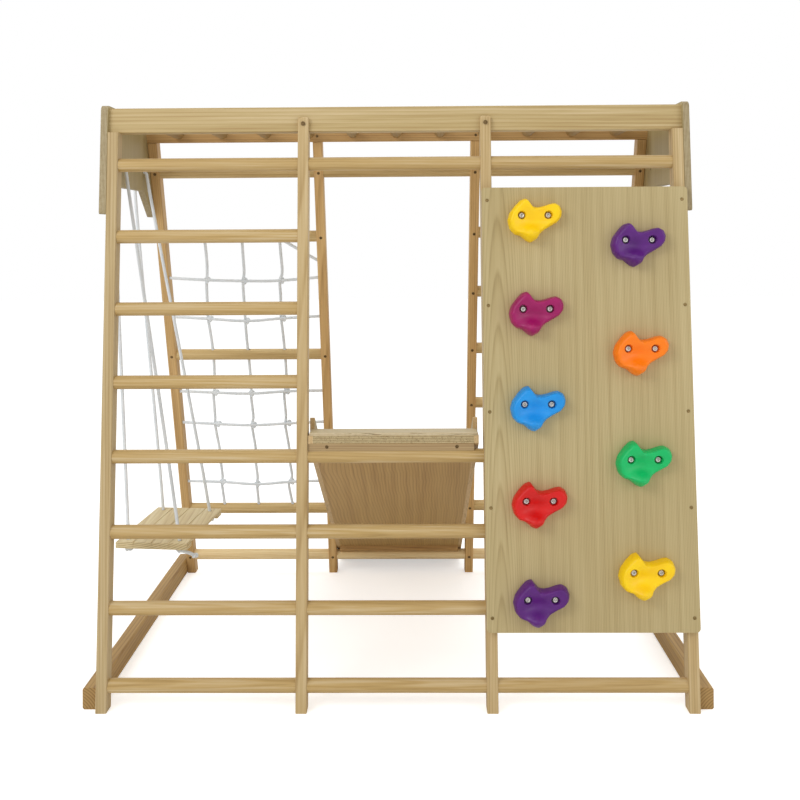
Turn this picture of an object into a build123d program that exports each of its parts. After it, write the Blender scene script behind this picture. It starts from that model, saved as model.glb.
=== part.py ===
from build123d import *
import math
import os

# Wooden climbing playset: two leaning ladder frames joined at the top, with a climbing
# panel, a slide, a rope net, a rear ladder, overhead bars and a swing.
# Millimetres and degrees, +Z up, +X to the right and +Y away from the front ladder.

# ---- Frame sizes ----
frame_width = 1500.0
leg_width = 28.0
leg_depth = 40.0
leg_edge_radius = 3.0
leg_top_radius = 7.0
mid_leg_offset = 237.7
front_lean = 4.8
rear_lean = 17.8
feet_spread = 960.0
leg_lap = 38.0
front_level_base = 59.0
rear_level_base = 66.0
level_pitch = 187.5
level_count = 8

# ---- Rungs and bars ----
dowel_radius = 17.5
tenon_radius = 11.0
tenon_length = 12.0
joint_play = 0.2
net_rung_heights = (245.0, 798.0, 1182.0)
bar_count = 11
bar_end_inset = 97.0
bar_tenon_length = 14.0

# ---- Top rails and end plates ----
rail_thickness = 28.0
rail_height = 66.0
rail_edge_radius = 4.0
rail_above_top_rung = 86.0
rear_rail_lift = 6.0
plate_thickness = 18.0
plate_above_rails = 6.0
plate_depth = 210.0
limb_length = 286.0
front_limb_top_width = 115.0
front_limb_bottom_width = 105.5
rear_limb_top_width = 123.0
rear_limb_bottom_width = 54.0
plate_edge_radius = 2.0
plate_corner_radius = 16.0
notch_corner_radius = 9.0
limb_corner_radius = 6.0

# ---- Base rails ----
base_rail_width = 38.0
base_rail_height = 54.0
base_rail_front = 22.0
base_rail_overrun = 4.0
base_rail_chamfer = 4.0

# ---- Climbing panel and holds ----
panel_thickness = 18.0
panel_bottom_height = 199.0
panel_length = 1108.0
panel_corner_radius = 10.0
panel_screw_inset = 14.0
panel_screws_from_bottom = (35.0, 302.0, 539.0)
panel_screws_from_top = (302.0, 33.0)
left_column_inset = 133.3
left_column_count = 5
left_column_bottom_margin = 85.3
left_column_top_margin = 74.3
right_column_inset = 132.0
right_column_count = 4
right_column_bottom_margin = 149.5
right_column_top_margin = 138.4
hold_rise = 34.0
hold_bolt_spacing = 67.4
hold_bore_radius = 10.5
hold_bore_floor = 12.0
hold_dish_radius = 66.0
hold_dish_depth = 9.0
hold_nose_radius = 23.0

# ---- Fasteners ----
bolt_radius = 4.0
bolt_head_radius = 6.5
bolt_head_height = 6.0
washer_radius = 9.0
washer_thickness = 1.5
tee_flange_radius = 11.0
tee_flange_thickness = 1.5
tee_barrel_radius = 5.5
screw_head_radius = 4.5
screw_head_height = 2.5
screw_radius = 2.0
panel_screw_length = 36.0
rung_screw_length = 9.0
frame_head_radius = 5.5
frame_head_height = 3.5
barrel_nut_radius = 5.0
barrel_nut_length = 20.0
barrel_nut_inset = 25.0
base_bolt_head_depth = 8.0
base_bolt_head_play = 1.0
base_bolt_bite = 18.0
plate_bolt_rise = 34.0

# ---- Rope net ----
net_rope_radius = 4.5
net_hole_radius = 5.0
net_column_count = 3
net_row_heights = (350.0, 447.0, 565.0, 674.0, 926.0, 1053.0)
net_end_depth = 12.0
net_layer_gap = 0.3

# ---- Slide ----
slide_left_gap = 1.0
slide_right_gap = 12.7
slide_bed_thickness = 16.0
slide_side_thickness = 12.0
slide_side_height = 76.0
slide_overhang = 12.3
slide_head_rise = 34.5
slide_cap_depth = 51.0
slide_cap_thickness = 8.0
slide_cap_radius = 2.5
slide_cap_end_inset = 3.0
slide_ear_length = 55.0
slide_saddle_drop = 2.4
slide_saddle_front_inset = 2.0
slide_screw_left_inset = 35.5
slide_screw_right_inset = 43.3
slide_screw_rise = 25.0
slide_stop_thickness = 15.0
slide_stop_length = 24.0
slide_play = 0.4
slide_foot_lift = 0.3
slide_toe_overrun = 26.0
slide_toe_radius = 34.0
slide_ear_radius = 3.0

# ---- Swing ----
swing_pivot_drop = 154.3
swing_hole_shift = 12.5
swing_hole_spacing = 201.0
swing_hole_radius = 6.5
swing_rope_play = 0.3
swing_rope_radius = 4.5
swing_rope_bend = 9.0
swing_seat_height = 367.0
swing_seat_inward = 116.0
swing_seat_shift = -6.0
swing_seat_turn = -5.0
seat_width = 196.0
seat_length = 316.0
slat_count = 4
slat_gap = 1.5
slat_thickness = 8.0
slat_radius = 2.0
batten_width = 40.0
batten_thickness = 10.0
seat_hole_side_inset = 26.5
seat_hole_end_inset = 24.0
seat_hole_radius = 6.0
knot_radius = 11.0
knot_squash = 0.75
knot_drop = 5.8
rope_guard_drop = 92.0
rope_guard_inset = 2.0
rope_guard_bend = 60.0
rope_knee_rise = 12.0
rope_knee_bend = 40.0

# ---- Positions that follow from the sizes ----
outer_leg_offset = frame_width / 2 - leg_width / 2
leg_places = (-outer_leg_offset, -mid_leg_offset, mid_leg_offset, outer_leg_offset)
leg_names = ("left", "mid_left", "mid_right", "right")
tongue = leg_depth - rail_thickness
axis_depth = leg_depth / 2
foot_allowance = leg_depth
plate_middle = frame_width / 2 + plate_thickness / 2
base_rail_outer = frame_width / 2 + base_rail_width
cut_size = 4000.0


class Ladder:
    """A leaning frame: x across, rise along the legs, depth back from its front face."""

    def __init__(self, foot, lean):
        self.foot = foot
        self.slope = math.sin(math.radians(lean))
        self.upright = math.cos(math.radians(lean))
        normal = (0, -self.upright, self.slope)
        self.location = Plane(origin=(0, foot, 0), x_dir=(1, 0, 0), z_dir=normal).location

    def rise_at(self, height, depth=0.0):
        return (height + self.slope * depth) / self.upright

    def point(self, rise, depth):
        y = self.foot + self.slope * rise + self.upright * depth
        z = self.upright * rise - self.slope * depth
        return y, z

    def y_at(self, height, depth=0.0):
        return self.point(self.rise_at(height, depth), depth)[0]

    def place(self, shape, x, rise, depth):
        return self.location * Pos(x, rise, -depth) * shape


front = Ladder(0.0, front_lean)
rear = Ladder(feet_spread, -rear_lean)


def along_x(shape):
    return Rot(0, 90, 0) * shape


def bay_edges(bay):
    return leg_places[bay] + leg_width / 2, leg_places[bay + 1] - leg_width / 2


def front_height(level):
    return front_level_base + level * level_pitch


def rear_height(level):
    return rear_level_base + level * level_pitch


top_level = level_count - 1
front_rail_bottom = front_height(top_level) + rail_above_top_rung
rear_rail_bottom = front_rail_bottom + rear_rail_lift
plate_top_height = front_rail_bottom + rail_height * front.upright + plate_above_rails
limb_bottom_height = plate_top_height - limb_length
notch_top_height = plate_top_height - plate_depth
swing_pivot_height = plate_top_height - swing_pivot_drop
swing_hole_height = swing_pivot_height + swing_hole_radius - swing_rope_radius - swing_rope_play
plate_centre = (front.y_at(swing_pivot_height) + rear.y_at(swing_pivot_height, leg_depth)) / 2
swing_hole_front = plate_centre + swing_hole_shift - swing_hole_spacing / 2
swing_hole_rear = plate_centre + swing_hole_shift + swing_hole_spacing / 2


# Which bays each level crosses: the bottom one first, left bay 0 to right bay 2.
front_bays = {level: (0,) for level in range(level_count)}
front_bays.update({1: (0, 1), 2: (0, 1), 3: (0, 1), 0: (0, 1, 2), top_level: (0, 1, 2)})
rear_full_levels = (0, top_level)
ladder_levels = tuple(range(1, top_level))


def rung(ladder, bay, height):
    """A dowel between two legs, with a tenon at each end in the middle of the leg's depth."""
    low, high = bay_edges(bay)
    body = along_x(Cylinder(dowel_radius, high - low))
    tenons = along_x(Cylinder(tenon_radius, high - low + 2 * tenon_length))
    rise = ladder.rise_at(height, axis_depth)
    return ladder.place(body + tenons, (low + high) / 2, rise, axis_depth)


def tenon_hole(ladder, leg, side, height):
    """The blind hole that takes a tenon in the left (-1) or right (+1) face of a leg."""
    depth = tenon_length + joint_play
    face = leg_places[leg] + side * leg_width / 2
    middle = face - side * depth / 2
    hole = along_x(Cylinder(tenon_radius + joint_play, depth))
    return ladder.place(hole, middle, ladder.rise_at(height, axis_depth), axis_depth)


def tenon_holes(ladder, leg, rungs):
    """Holes of one leg for every (bay, height) that ends in it."""
    holes = []
    for bay, height in rungs:
        if bay == leg:
            holes.append(tenon_hole(ladder, leg, 1, height))
        if bay + 1 == leg:
            holes.append(tenon_hole(ladder, leg, -1, height))
    return holes


front_rungs = [(bay, front_height(level)) for level, bays in front_bays.items() for bay in bays]
rear_rungs = [(bay, rear_height(level)) for level in rear_full_levels for bay in (0, 1, 2)]
rear_rungs += [(0, height) for height in net_rung_heights]
rear_rungs += [(2, rear_height(level)) for level in ladder_levels]


def rail_rise(ladder):
    bottom = front_rail_bottom if ladder is front else rear_rail_bottom
    return ladder.rise_at(bottom)


def rail_depth(ladder):
    """Depth of the rail's own front face: the tongues of the middle legs lap its outer face."""
    return tongue if ladder is front else 0.0


def tongue_face(ladder):
    return 0.0 if ladder is front else leg_depth


floor_block = Pos(0, 0, -cut_size / 2) * Box(2 * cut_size, 2 * cut_size, cut_size)


def leg(ladder, index):
    """A leg with its foot cut level, notched at the top where a middle leg laps the rail."""
    lapped = index in (1, 2)
    top = rail_rise(ladder) + leg_lap if lapped else rail_rise(ladder)
    blank = Box(leg_width, top + foot_allowance, leg_depth, align=(Align.CENTER, Align.MIN, Align.MAX))
    blank = fillet(blank.edges().filter_by(Axis.Y), leg_edge_radius)
    blank = Pos(0, -foot_allowance, 0) * blank
    if lapped:
        notch = Box(2 * leg_width, leg_lap, rail_thickness, align=(Align.CENTER, Align.MAX, Align.MAX))
        blank -= Pos(0, top, -rail_depth(ladder)) * notch
        tips = blank.edges().filter_by(Axis.Z).group_by(Axis.Y)[-1]
        blank = fillet(tips, leg_top_radius)
    return ladder.place(blank, leg_places[index], 0, 0) - floor_block


def rail_end_bolt_place(ladder):
    return rail_rise(ladder) + rail_height / 2, rail_depth(ladder) + rail_thickness / 2


def top_rail(ladder):
    """A rail between the end plates, bored for the bars, the lap bolts and the end bolts."""
    rail = Box(frame_width, rail_height, rail_thickness, align=(Align.CENTER, Align.MIN, Align.MAX))
    rail = fillet(rail.edges().filter_by(Axis.X), rail_edge_radius)
    rail = ladder.place(rail, 0, rail_rise(ladder), rail_depth(ladder))
    for x in bar_places():
        rail -= bar_tenons(x, joint_play)
    for x in (-mid_leg_offset, mid_leg_offset):
        rail -= lap_bolt(ladder, x, joint_play)
    for side in (-1, 1):
        rail -= rail_end_bolt(ladder, side, joint_play)
        rail -= barrel_nut(ladder, side, joint_play)
    return rail


def bar_places():
    pitch = (frame_width - 2 * bar_end_inset) / (bar_count - 1)
    return [(i - (bar_count - 1) / 2) * pitch for i in range(bar_count)]


front_rail_middle = front_rail_bottom + rail_height / 2 * front.upright
rear_rail_middle = rear_rail_bottom + rail_height / 2 * rear.upright
bar_height = (front_rail_middle + rear_rail_middle) / 2
bar_front = front.y_at(bar_height, leg_depth)
bar_rear = rear.y_at(bar_height)


def bar_tenons(x, play=0.0):
    """The pin that runs through a bar into both rails, or the bores for it when play is given."""
    length = bar_rear - bar_front + 2 * (bar_tenon_length + play)
    middle = (bar_front + bar_rear) / 2
    return Pos(x, middle, bar_height) * Rot(90, 0, 0) * Cylinder(tenon_radius + play, length)


def overhead_bar(x):
    """A dowel from rail to rail whose ends follow the tilted faces of the rails."""
    middle = (bar_front + bar_rear) / 2
    blank = Pos(x, middle, bar_height) * Rot(90, 0, 0) * Cylinder(dowel_radius, cut_size / 4)
    slab = Box(cut_size, cut_size, cut_size, align=(Align.CENTER, Align.CENTER, Align.MIN))
    blank -= front.place(slab, 0, 0, leg_depth)
    back_slab = Box(cut_size, cut_size, cut_size, align=(Align.CENTER, Align.CENTER, Align.MAX))
    blank -= rear.place(back_slab, 0, 0, 0)
    return blank + bar_tenons(x)


frame_head = Cylinder(frame_head_radius, frame_head_height)
frame_head_place = frame_width / 2 + plate_thickness + frame_head_height / 2


def lap_bolt(ladder, x, play=0.0):
    """Bolt through a middle leg's tongue and the rail, its head on the tongue's outer face."""
    rise = rail_rise(ladder) + leg_lap / 2
    outward = 1 if ladder is front else -1
    face = tongue_face(ladder)
    shank = Cylinder(bolt_radius + play, leg_depth, align=(Align.CENTER, Align.CENTER, Align.CENTER))
    bolt = ladder.place(shank, x, rise, leg_depth / 2)
    if play:
        return bolt
    return bolt + ladder.place(frame_head, x, rise, face - outward * frame_head_height / 2)


def rail_end_bolt(ladder, side, play=0.0):
    """Bolt through an end plate into the end of a rail, as far as its barrel nut."""
    rise, depth = rail_end_bolt_place(ladder)
    reach = plate_thickness + barrel_nut_inset - barrel_nut_radius
    middle = side * (frame_width / 2 + plate_thickness - reach / 2)
    bolt = ladder.place(along_x(Cylinder(bolt_radius + play, reach)), middle, rise, depth)
    if play:
        return bolt
    return bolt + ladder.place(along_x(frame_head), side * frame_head_place, rise, depth)


def barrel_nut(ladder, side, play=0.0):
    """Cross dowel let into the rail from its inner face, which the end bolt screws into."""
    rise, _ = rail_end_bolt_place(ladder)
    length = barrel_nut_length + play
    inner = rail_depth(ladder) + rail_thickness - length / 2 if ladder is front else length / 2
    nut = Cylinder(barrel_nut_radius + play, length)
    return ladder.place(nut, side * (frame_width / 2 - barrel_nut_inset), rise, inner)


def limb_bolt(ladder, side, play=0.0):
    """Bolt through the lower end of an end plate's limb into the outer leg."""
    rise = ladder.rise_at(limb_bottom_height) + plate_bolt_rise
    reach = plate_thickness + leg_width / 2
    middle = side * (frame_width / 2 + plate_thickness - reach / 2)
    bolt = ladder.place(along_x(Cylinder(bolt_radius + play, reach)), middle, rise, axis_depth)
    if play:
        return bolt
    return bolt + ladder.place(along_x(frame_head), side * frame_head_place, rise, axis_depth)


def base_bolt_place(ladder):
    """In the leg's middle, or at the front in the middle of the stretch that rail and leg share."""
    height = base_rail_height / 2
    if ladder is front:
        return (base_rail_front + ladder.y_at(height, leg_depth)) / 2
    return ladder.y_at(height, axis_depth)


def base_bolt(ladder, side, play=0.0):
    """Bolt through a base rail into the foot of an outer leg, its head sunk in a bore."""
    y = base_bolt_place(ladder)
    inner = frame_width / 2 - base_bolt_bite
    outer = base_rail_outer - base_bolt_head_depth
    shank = along_x(Cylinder(bolt_radius + play, outer - inner))
    bolt = Pos(side * (inner + outer) / 2, y, base_rail_height / 2) * shank
    head_length = base_bolt_head_depth if play else bolt_head_height
    head_radius = bolt_head_radius + base_bolt_head_play if play else bolt_head_radius
    head = along_x(Cylinder(head_radius, head_length))
    return bolt + Pos(side * (outer + head_length / 2), y, base_rail_height / 2) * head


def base_rail(side):
    """Foot rail along the floor, outside the legs of one end, with chamfered edges."""
    back = rear.y_at(0, leg_depth) - base_rail_overrun
    length = back - base_rail_front
    rail = Box(base_rail_width, length, base_rail_height, align=(Align.CENTER, Align.MIN, Align.MIN))
    rail = chamfer(rail.edges().filter_by(Axis.Y), base_rail_chamfer)
    rail = Pos(side * (frame_width + base_rail_width) / 2, base_rail_front, 0) * rail
    for ladder in (front, rear):
        rail -= base_bolt(ladder, side, joint_play)
    return rail


def end_plate(side):
    """Plywood end with two limbs and a notch, its edges in line with the legs it covers."""
    outline = Polyline(
        (front.y_at(limb_bottom_height), limb_bottom_height),
        (front.y_at(plate_top_height), plate_top_height),
        (rear.y_at(plate_top_height, leg_depth), plate_top_height),
        (rear.y_at(limb_bottom_height, leg_depth), limb_bottom_height),
        (rear.y_at(limb_bottom_height, leg_depth) - rear_limb_bottom_width, limb_bottom_height),
        (rear.y_at(notch_top_height, leg_depth) - rear_limb_top_width, notch_top_height),
        (front.y_at(notch_top_height) + front_limb_top_width, notch_top_height),
        (front.y_at(limb_bottom_height) + front_limb_bottom_width, limb_bottom_height),
        close=True,
    )
    plate = extrude(Plane.YZ * make_face(outline), plate_thickness)
    for level, radius in ((-1, plate_corner_radius), (1, notch_corner_radius), (0, limb_corner_radius)):
        corners = plate.edges().filter_by(Axis.X).group_by(Axis.Z)[level]
        plate = fillet(corners, radius)
    plate = fillet(plate.faces().sort_by(Axis.X)[side].edges(), plate_edge_radius)
    inner = frame_width / 2 if side > 0 else -frame_width / 2 - plate_thickness
    plate = Pos(inner, 0, 0) * plate
    for y in (swing_hole_front, swing_hole_rear):
        hole = along_x(Cylinder(swing_hole_radius, 3 * plate_thickness))
        plate -= Pos(side * plate_middle, y, swing_hole_height) * hole
    for ladder in (front, rear):
        plate -= rail_end_bolt(ladder, side, joint_play)
        plate -= limb_bolt(ladder, side, joint_play)
    return plate


# ---- Climbing panel ----
panel_low = mid_leg_offset - leg_width / 2
panel_high = frame_width / 2
panel_rise = front.rise_at(panel_bottom_height)


def hold_places():
    """Name, x and rise of every hold: five in the left column and four in the right one."""
    left_margins = (left_column_bottom_margin, left_column_top_margin)
    right_margins = (right_column_bottom_margin, right_column_top_margin)
    columns = (
        ("left", panel_low + left_column_inset, left_column_count, left_margins),
        ("right", panel_high - right_column_inset, right_column_count, right_margins),
    )
    places = []
    for name, x, count, (bottom, top) in columns:
        step = (panel_length - bottom - top) / (count - 1)
        for i in range(count):
            places.append((f"hold_{name}_{i + 1}", x, panel_rise + bottom + i * step))
    return places


def screw(length, play=0.0):
    """A screw along -Z from z = 0, with a flat head, or the hole for it when play is given."""
    drop = (Align.CENTER, Align.CENTER, Align.MAX)
    head = Cylinder(screw_head_radius + play, screw_head_height, align=drop)
    return head + Cylinder(screw_radius + play, length, align=drop)


def panel_screw_places():
    xs = (panel_low + panel_screw_inset, panel_high - panel_screw_inset)
    rises = [*panel_screws_from_bottom, *(panel_length - drop for drop in panel_screws_from_top)]
    return [(x, panel_rise + rise) for x in xs for rise in rises]


def panel_screw(place, play=0.0):
    return front.place(screw(panel_screw_length, play), place[0], place[1], -panel_thickness)


def hold_bolt_places():
    half = hold_bolt_spacing / 2
    return [(x + side * half, rise) for _, x, rise in hold_places() for side in (-1, 1)]


def climbing_panel():
    width = panel_high - panel_low
    panel = Box(width, panel_length, panel_thickness, align=(Align.CENTER, Align.MIN, Align.MIN))
    panel = fillet(panel.edges().filter_by(Axis.Z), panel_corner_radius)
    panel = front.place(panel, (panel_low + panel_high) / 2, panel_rise, 0)
    for place in panel_screw_places():
        panel -= panel_screw(place, joint_play)
    for x, rise in hold_bolt_places():
        bore = Cylinder(tee_barrel_radius + joint_play, 3 * panel_thickness)
        panel -= front.place(bore, x, rise, -panel_thickness / 2)
    return panel


# ---- Climbing hold: a moulded grip with an ear, a saddle, a lobe and a nose ----
# Outline round the two bolts, x to the right and y up, from the ear anticlockwise.
hold_outline = (
    (-25.0, 45.0), (-47.0, 31.0), (-62.0, 11.0), (-69.0, -10.0), (-62.0, -33.0), (-37.0, -49.0),
    (-26.0, -60.0), (-12.0, -69.0), (4.0, -62.0), (15.0, -49.0), (30.0, -33.0), (65.0, -12.0),
    (72.0, 9.0), (62.0, 27.0), (44.0, 33.0), (12.0, 22.0), (-6.0, 26.0), (-15.0, 38.0),
)
hold_centre = (2.0, -8.0)
hold_sections = ((0.0, 1.0), (0.45, 0.99), (0.8, 0.93), (1.0, 0.84))
hold_nose_place = (-13.0, -43.0)
hold_nose_lift = 14.0


def hold_section(height_share, scale):
    """The outline drawn in towards the hold's centre, at a share of its height."""
    points = []
    middle_x, middle_y = hold_centre
    for x, y in hold_outline:
        points.append((middle_x + (x - middle_x) * scale, middle_y + (y - middle_y) * scale))
    return Pos(0, 0, hold_rise * height_share) * make_face(Spline(*points, periodic=True))


def climbing_hold():
    body = loft([hold_section(share, scale) for share, scale in hold_sections])
    dish_top = hold_rise - hold_dish_depth + hold_dish_radius
    body -= Pos(0, 0, dish_top) * Sphere(hold_dish_radius)
    nose = Pos(*hold_nose_place, hold_nose_lift) * Sphere(hold_nose_radius)
    body += nose - Box(cut_size, cut_size, cut_size, align=(Align.CENTER, Align.CENTER, Align.MAX))
    for side in (-1, 1):
        x = side * hold_bolt_spacing / 2
        bore = Cylinder(hold_bore_radius, cut_size, align=(Align.CENTER, Align.CENTER, Align.MIN))
        body -= Pos(x, 0, hold_bore_floor) * bore
        body -= Pos(x, 0, 0) * Cylinder(bolt_radius + joint_play, 3 * hold_rise)
    return body


def hold_bolt():
    """Bolt and washer of a hold, seated on the floor of its bore and running into the tee nut."""
    up = (Align.CENTER, Align.CENTER, Align.MIN)
    down = (Align.CENTER, Align.CENTER, Align.MAX)
    bolt = Cylinder(washer_radius, washer_thickness, align=up)
    bolt += Pos(0, 0, washer_thickness) * Cylinder(bolt_head_radius, bolt_head_height, align=up)
    bolt += Cylinder(bolt_radius, hold_bore_floor + panel_thickness, align=down)
    return Pos(0, 0, hold_bore_floor) * bolt


def tee_nut():
    """Tee nut let into the panel from behind, its flange flat on the panel's back."""
    up = (Align.CENTER, Align.CENTER, Align.MIN)
    down = (Align.CENTER, Align.CENTER, Align.MAX)
    nut = Cylinder(tee_flange_radius, tee_flange_thickness, align=down)
    nut += Cylinder(tee_barrel_radius, panel_thickness - joint_play, align=up)
    return nut - Cylinder(bolt_radius + joint_play, 3 * panel_thickness)


# ---- Screws that pin the rear rungs' tenons ----
def rung_screw_places():
    """Leg index and rung height of every screw in the front faces of the rear legs."""
    places = set()
    for bay, height in rear_rungs:
        places.add((bay, height))
        places.add((bay + 1, height))
    return sorted(places)


def rung_screw(place, play=0.0):
    index, height = place
    rise = rear.rise_at(height, axis_depth)
    return rear.place(screw(rung_screw_length, play), leg_places[index], rise, 0)


# ---- Rope net ----
def net_column_places():
    low, high = bay_edges(0)
    step = (high - low) / (net_column_count + 1)
    return [low + step * (i + 1) for i in range(net_column_count)]


net_bottom_rise = rear.rise_at(min(net_rung_heights), axis_depth)
net_top_rise = rear.rise_at(max(net_rung_heights), axis_depth)


def net_column(x, radius=net_rope_radius):
    """Upright rope from a blind hole in the lower net rung to one in the upper net rung."""
    reach = dowel_radius - net_end_depth
    length = net_top_rise - net_bottom_rise - 2 * reach
    rope = Rot(90, 0, 0) * Cylinder(radius, length)
    return rear.place(rope, x, (net_top_rise + net_bottom_rise) / 2, axis_depth)


net_row_depth = axis_depth - 2 * net_rope_radius - net_layer_gap


def net_row(height, radius=net_rope_radius):
    """Cross rope in front of the upright ones, with its ends in blind holes in two legs."""
    low, high = bay_edges(0)
    length = high - low + 2 * net_end_depth
    rope = along_x(Cylinder(radius, length))
    return rear.place(rope, (low + high) / 2, rear.rise_at(height, net_row_depth), net_row_depth)


# ---- Slide: a bed between two side boards, hung over a front rung ----
slide_level = 3
hang_y, hang_z = front.point(front.rise_at(front_height(slide_level), axis_depth), axis_depth)
rest_y, rest_z = rear.point(rear.rise_at(rear_height(0), axis_depth), axis_depth)
slide_front = hang_y - slide_overhang
slide_head_bottom = hang_z + slide_head_rise


def slide_slope():
    """The bed's angle: its underside leaves the head's lower edge and clears the bottom rear rung."""
    run = rest_y - slide_front
    drop = slide_head_bottom - rest_z
    distance = math.hypot(run, drop)
    return math.atan2(drop, run) - math.asin((dowel_radius + slide_play) / distance)


slide_angle = slide_slope()
slide_cos = math.cos(slide_angle)
slide_tan = math.tan(slide_angle)
slide_low = leg_places[1] + leg_width / 2 + slide_left_gap
slide_high = leg_places[2] - leg_width / 2 - slide_right_gap
slide_width = slide_high - slide_low
slide_middle = (slide_low + slide_high) / 2
bed_low = slide_low + slide_side_thickness
bed_high = slide_high - slide_side_thickness
slide_cap_bottom = slide_head_bottom + slide_bed_thickness / slide_cos
slide_toe = slide_front + (slide_head_bottom - slide_foot_lift) / slide_tan


def slide_height(y, offset):
    """Height of a line parallel to the bed's underside, offset square to it, at a given y."""
    return slide_head_bottom - (y - slide_front) * slide_tan + offset / slide_cos


def slide_meets_floor(offset):
    return slide_toe + offset / slide_cos / slide_tan


def board(points, low, high):
    """A board from low to high in x, with an outline of (y, z) points."""
    return Pos(low, 0, 0) * extrude(Plane.YZ * make_face(Polyline(*points, close=True)), high - low)


def slide_bed():
    points = (
        (slide_front, slide_height(slide_front, 0)),
        (slide_front, slide_cap_bottom),
        (slide_meets_floor(slide_bed_thickness), slide_foot_lift),
        (slide_toe, slide_foot_lift),
    )
    return board(points, bed_low, bed_high)


def slide_side(low):
    """Side board: a low front that the cap lies on, an ear behind it, and a rounded toe."""
    ear = slide_front + slide_cap_depth
    ear_top = slide_head_bottom + slide_ear_length
    ear_back = slide_front + (slide_height(slide_front, slide_side_height) - ear_top) / slide_tan
    toe = slide_toe + slide_toe_overrun
    points = (
        (slide_front, slide_head_bottom),
        (slide_front, slide_cap_bottom),
        (ear, slide_cap_bottom),
        (ear, ear_top),
        (ear_back, ear_top),
        (toe, slide_height(toe, slide_side_height)),
        (toe, slide_foot_lift),
        (slide_toe, slide_foot_lift),
    )
    side = board(points, low, low + slide_side_thickness)
    crown = side.edges().filter_by(Axis.X).group_by(Axis.Y)[-1].sort_by(Axis.Z)[-1]
    side = fillet(crown, slide_toe_radius)
    ear_tip = side.edges().filter_by(Axis.X).group_by(Axis.Z)[-1].sort_by(Axis.Y)[0]
    return fillet(ear_tip, slide_ear_radius)


def slide_head():
    """Level cap board across the top end, with rounded edges."""
    width = slide_width - 2 * slide_cap_end_inset
    cap = Box(width, slide_cap_depth, slide_cap_thickness, align=(Align.CENTER, Align.MIN, Align.MIN))
    cap = fillet(cap.edges().group_by(Axis.Z)[-1], slide_cap_radius)
    return Pos(slide_middle, slide_front, slide_cap_bottom) * cap


def slide_saddle():
    """Wedge under the bed and the left side board, with a groove that sits on the front rung."""
    front_y = slide_front + slide_saddle_front_inset
    bottom = hang_z + dowel_radius - slide_saddle_drop
    back_y = slide_front + (slide_head_bottom - bottom) / slide_tan
    points = ((front_y, bottom), (front_y, slide_height(front_y, 0)), (back_y, bottom))
    wedge = board(points, slide_low, bed_high)
    groove = along_x(Cylinder(dowel_radius + slide_play, slide_width))
    return wedge - Pos(slide_middle, hang_y, hang_z) * groove


def slide_stop():
    """Strip under the bed that lies against the bottom rear rung and keeps the slide from creeping."""
    back = dowel_radius + slide_play
    size = (bed_high - bed_low, slide_stop_length, slide_stop_thickness)
    strip = Box(*size, align=(Align.CENTER, Align.MAX, Align.MAX))
    along = Plane(origin=(slide_middle, rest_y, slide_height(rest_y, 0)), x_dir=(1, 0, 0),
                  z_dir=(0, math.sin(slide_angle), slide_cos))
    return along.location * Pos(0, -back - slide_foot_shift(), 0) * strip


def slide_foot_shift():
    """How far along the bed the rung's axis lies from the point straight above it."""
    return -(slide_height(rest_y, 0) - rest_z) * math.sin(slide_angle)


def slide_screw(place, play=0.0):
    """Screw through the saddle's front face into the end of the bed."""
    x, z = place
    inset = slide_front + slide_saddle_front_inset
    return Pos(x, inset, z) * Rot(90, 0, 0) * screw(rung_screw_length, play)


slide_screw_places = (
    (bed_low + slide_screw_left_inset, hang_z + slide_screw_rise),
    (bed_high - slide_screw_right_inset, hang_z + slide_screw_rise),
)


# ---- Swing: a slatted seat on two ropes, each looped through a hole in the left end plate ----
seat_y = plate_centre + swing_seat_shift
seat_x = -plate_middle + swing_seat_inward
seat_hole_width = seat_width - 2 * seat_hole_side_inset
seat_hole_length = seat_length - 2 * seat_hole_end_inset
seat_place = Pos(seat_x, seat_y, swing_seat_height) * Rot(0, 0, swing_seat_turn)
seat_bottom = swing_seat_height - slat_thickness - batten_thickness


def seat_holes(play=0.0):
    holes = []
    for sx in (-1, 1):
        for sy in (-1, 1):
            tool = Cylinder(seat_hole_radius + play, cut_size)
            holes.append(seat_place * Pos(sx * seat_hole_width / 2, sy * seat_hole_length / 2, 0) * tool)
    return holes


def swing_slats():
    width = (seat_width - (slat_count - 1) * slat_gap) / slat_count
    slats = []
    for i in range(slat_count):
        slat = Box(width, seat_length, slat_thickness, align=(Align.CENTER, Align.CENTER, Align.MAX))
        slat = fillet(slat.edges().filter_by(Axis.Y), slat_radius)
        slat = seat_place * Pos((i - (slat_count - 1) / 2) * (width + slat_gap), 0, 0) * slat
        for hole in seat_holes():
            slat -= hole
        slats.append(slat)
    return slats


def swing_battens():
    battens = []
    for sy in (-1, 1):
        size = (seat_width, batten_width, batten_thickness)
        batten = Box(*size, align=(Align.CENTER, Align.CENTER, Align.MAX))
        batten = fillet(batten.edges().filter_by(Axis.X), slat_radius)
        batten = seat_place * Pos(0, sy * (seat_length - batten_width) / 2, -slat_thickness) * batten
        for hole in seat_holes():
            batten -= hole
        battens.append(batten)
    return battens


def seat_hole_point(sx, sy, z):
    turn = math.radians(swing_seat_turn)
    x = sx * seat_hole_width / 2
    y = sy * seat_hole_length / 2
    across = x * math.cos(turn) - y * math.sin(turn)
    along = x * math.sin(turn) + y * math.cos(turn)
    return seat_x + across, seat_y + along, z


rope_arm = plate_thickness / 2 + swing_rope_bend


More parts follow.
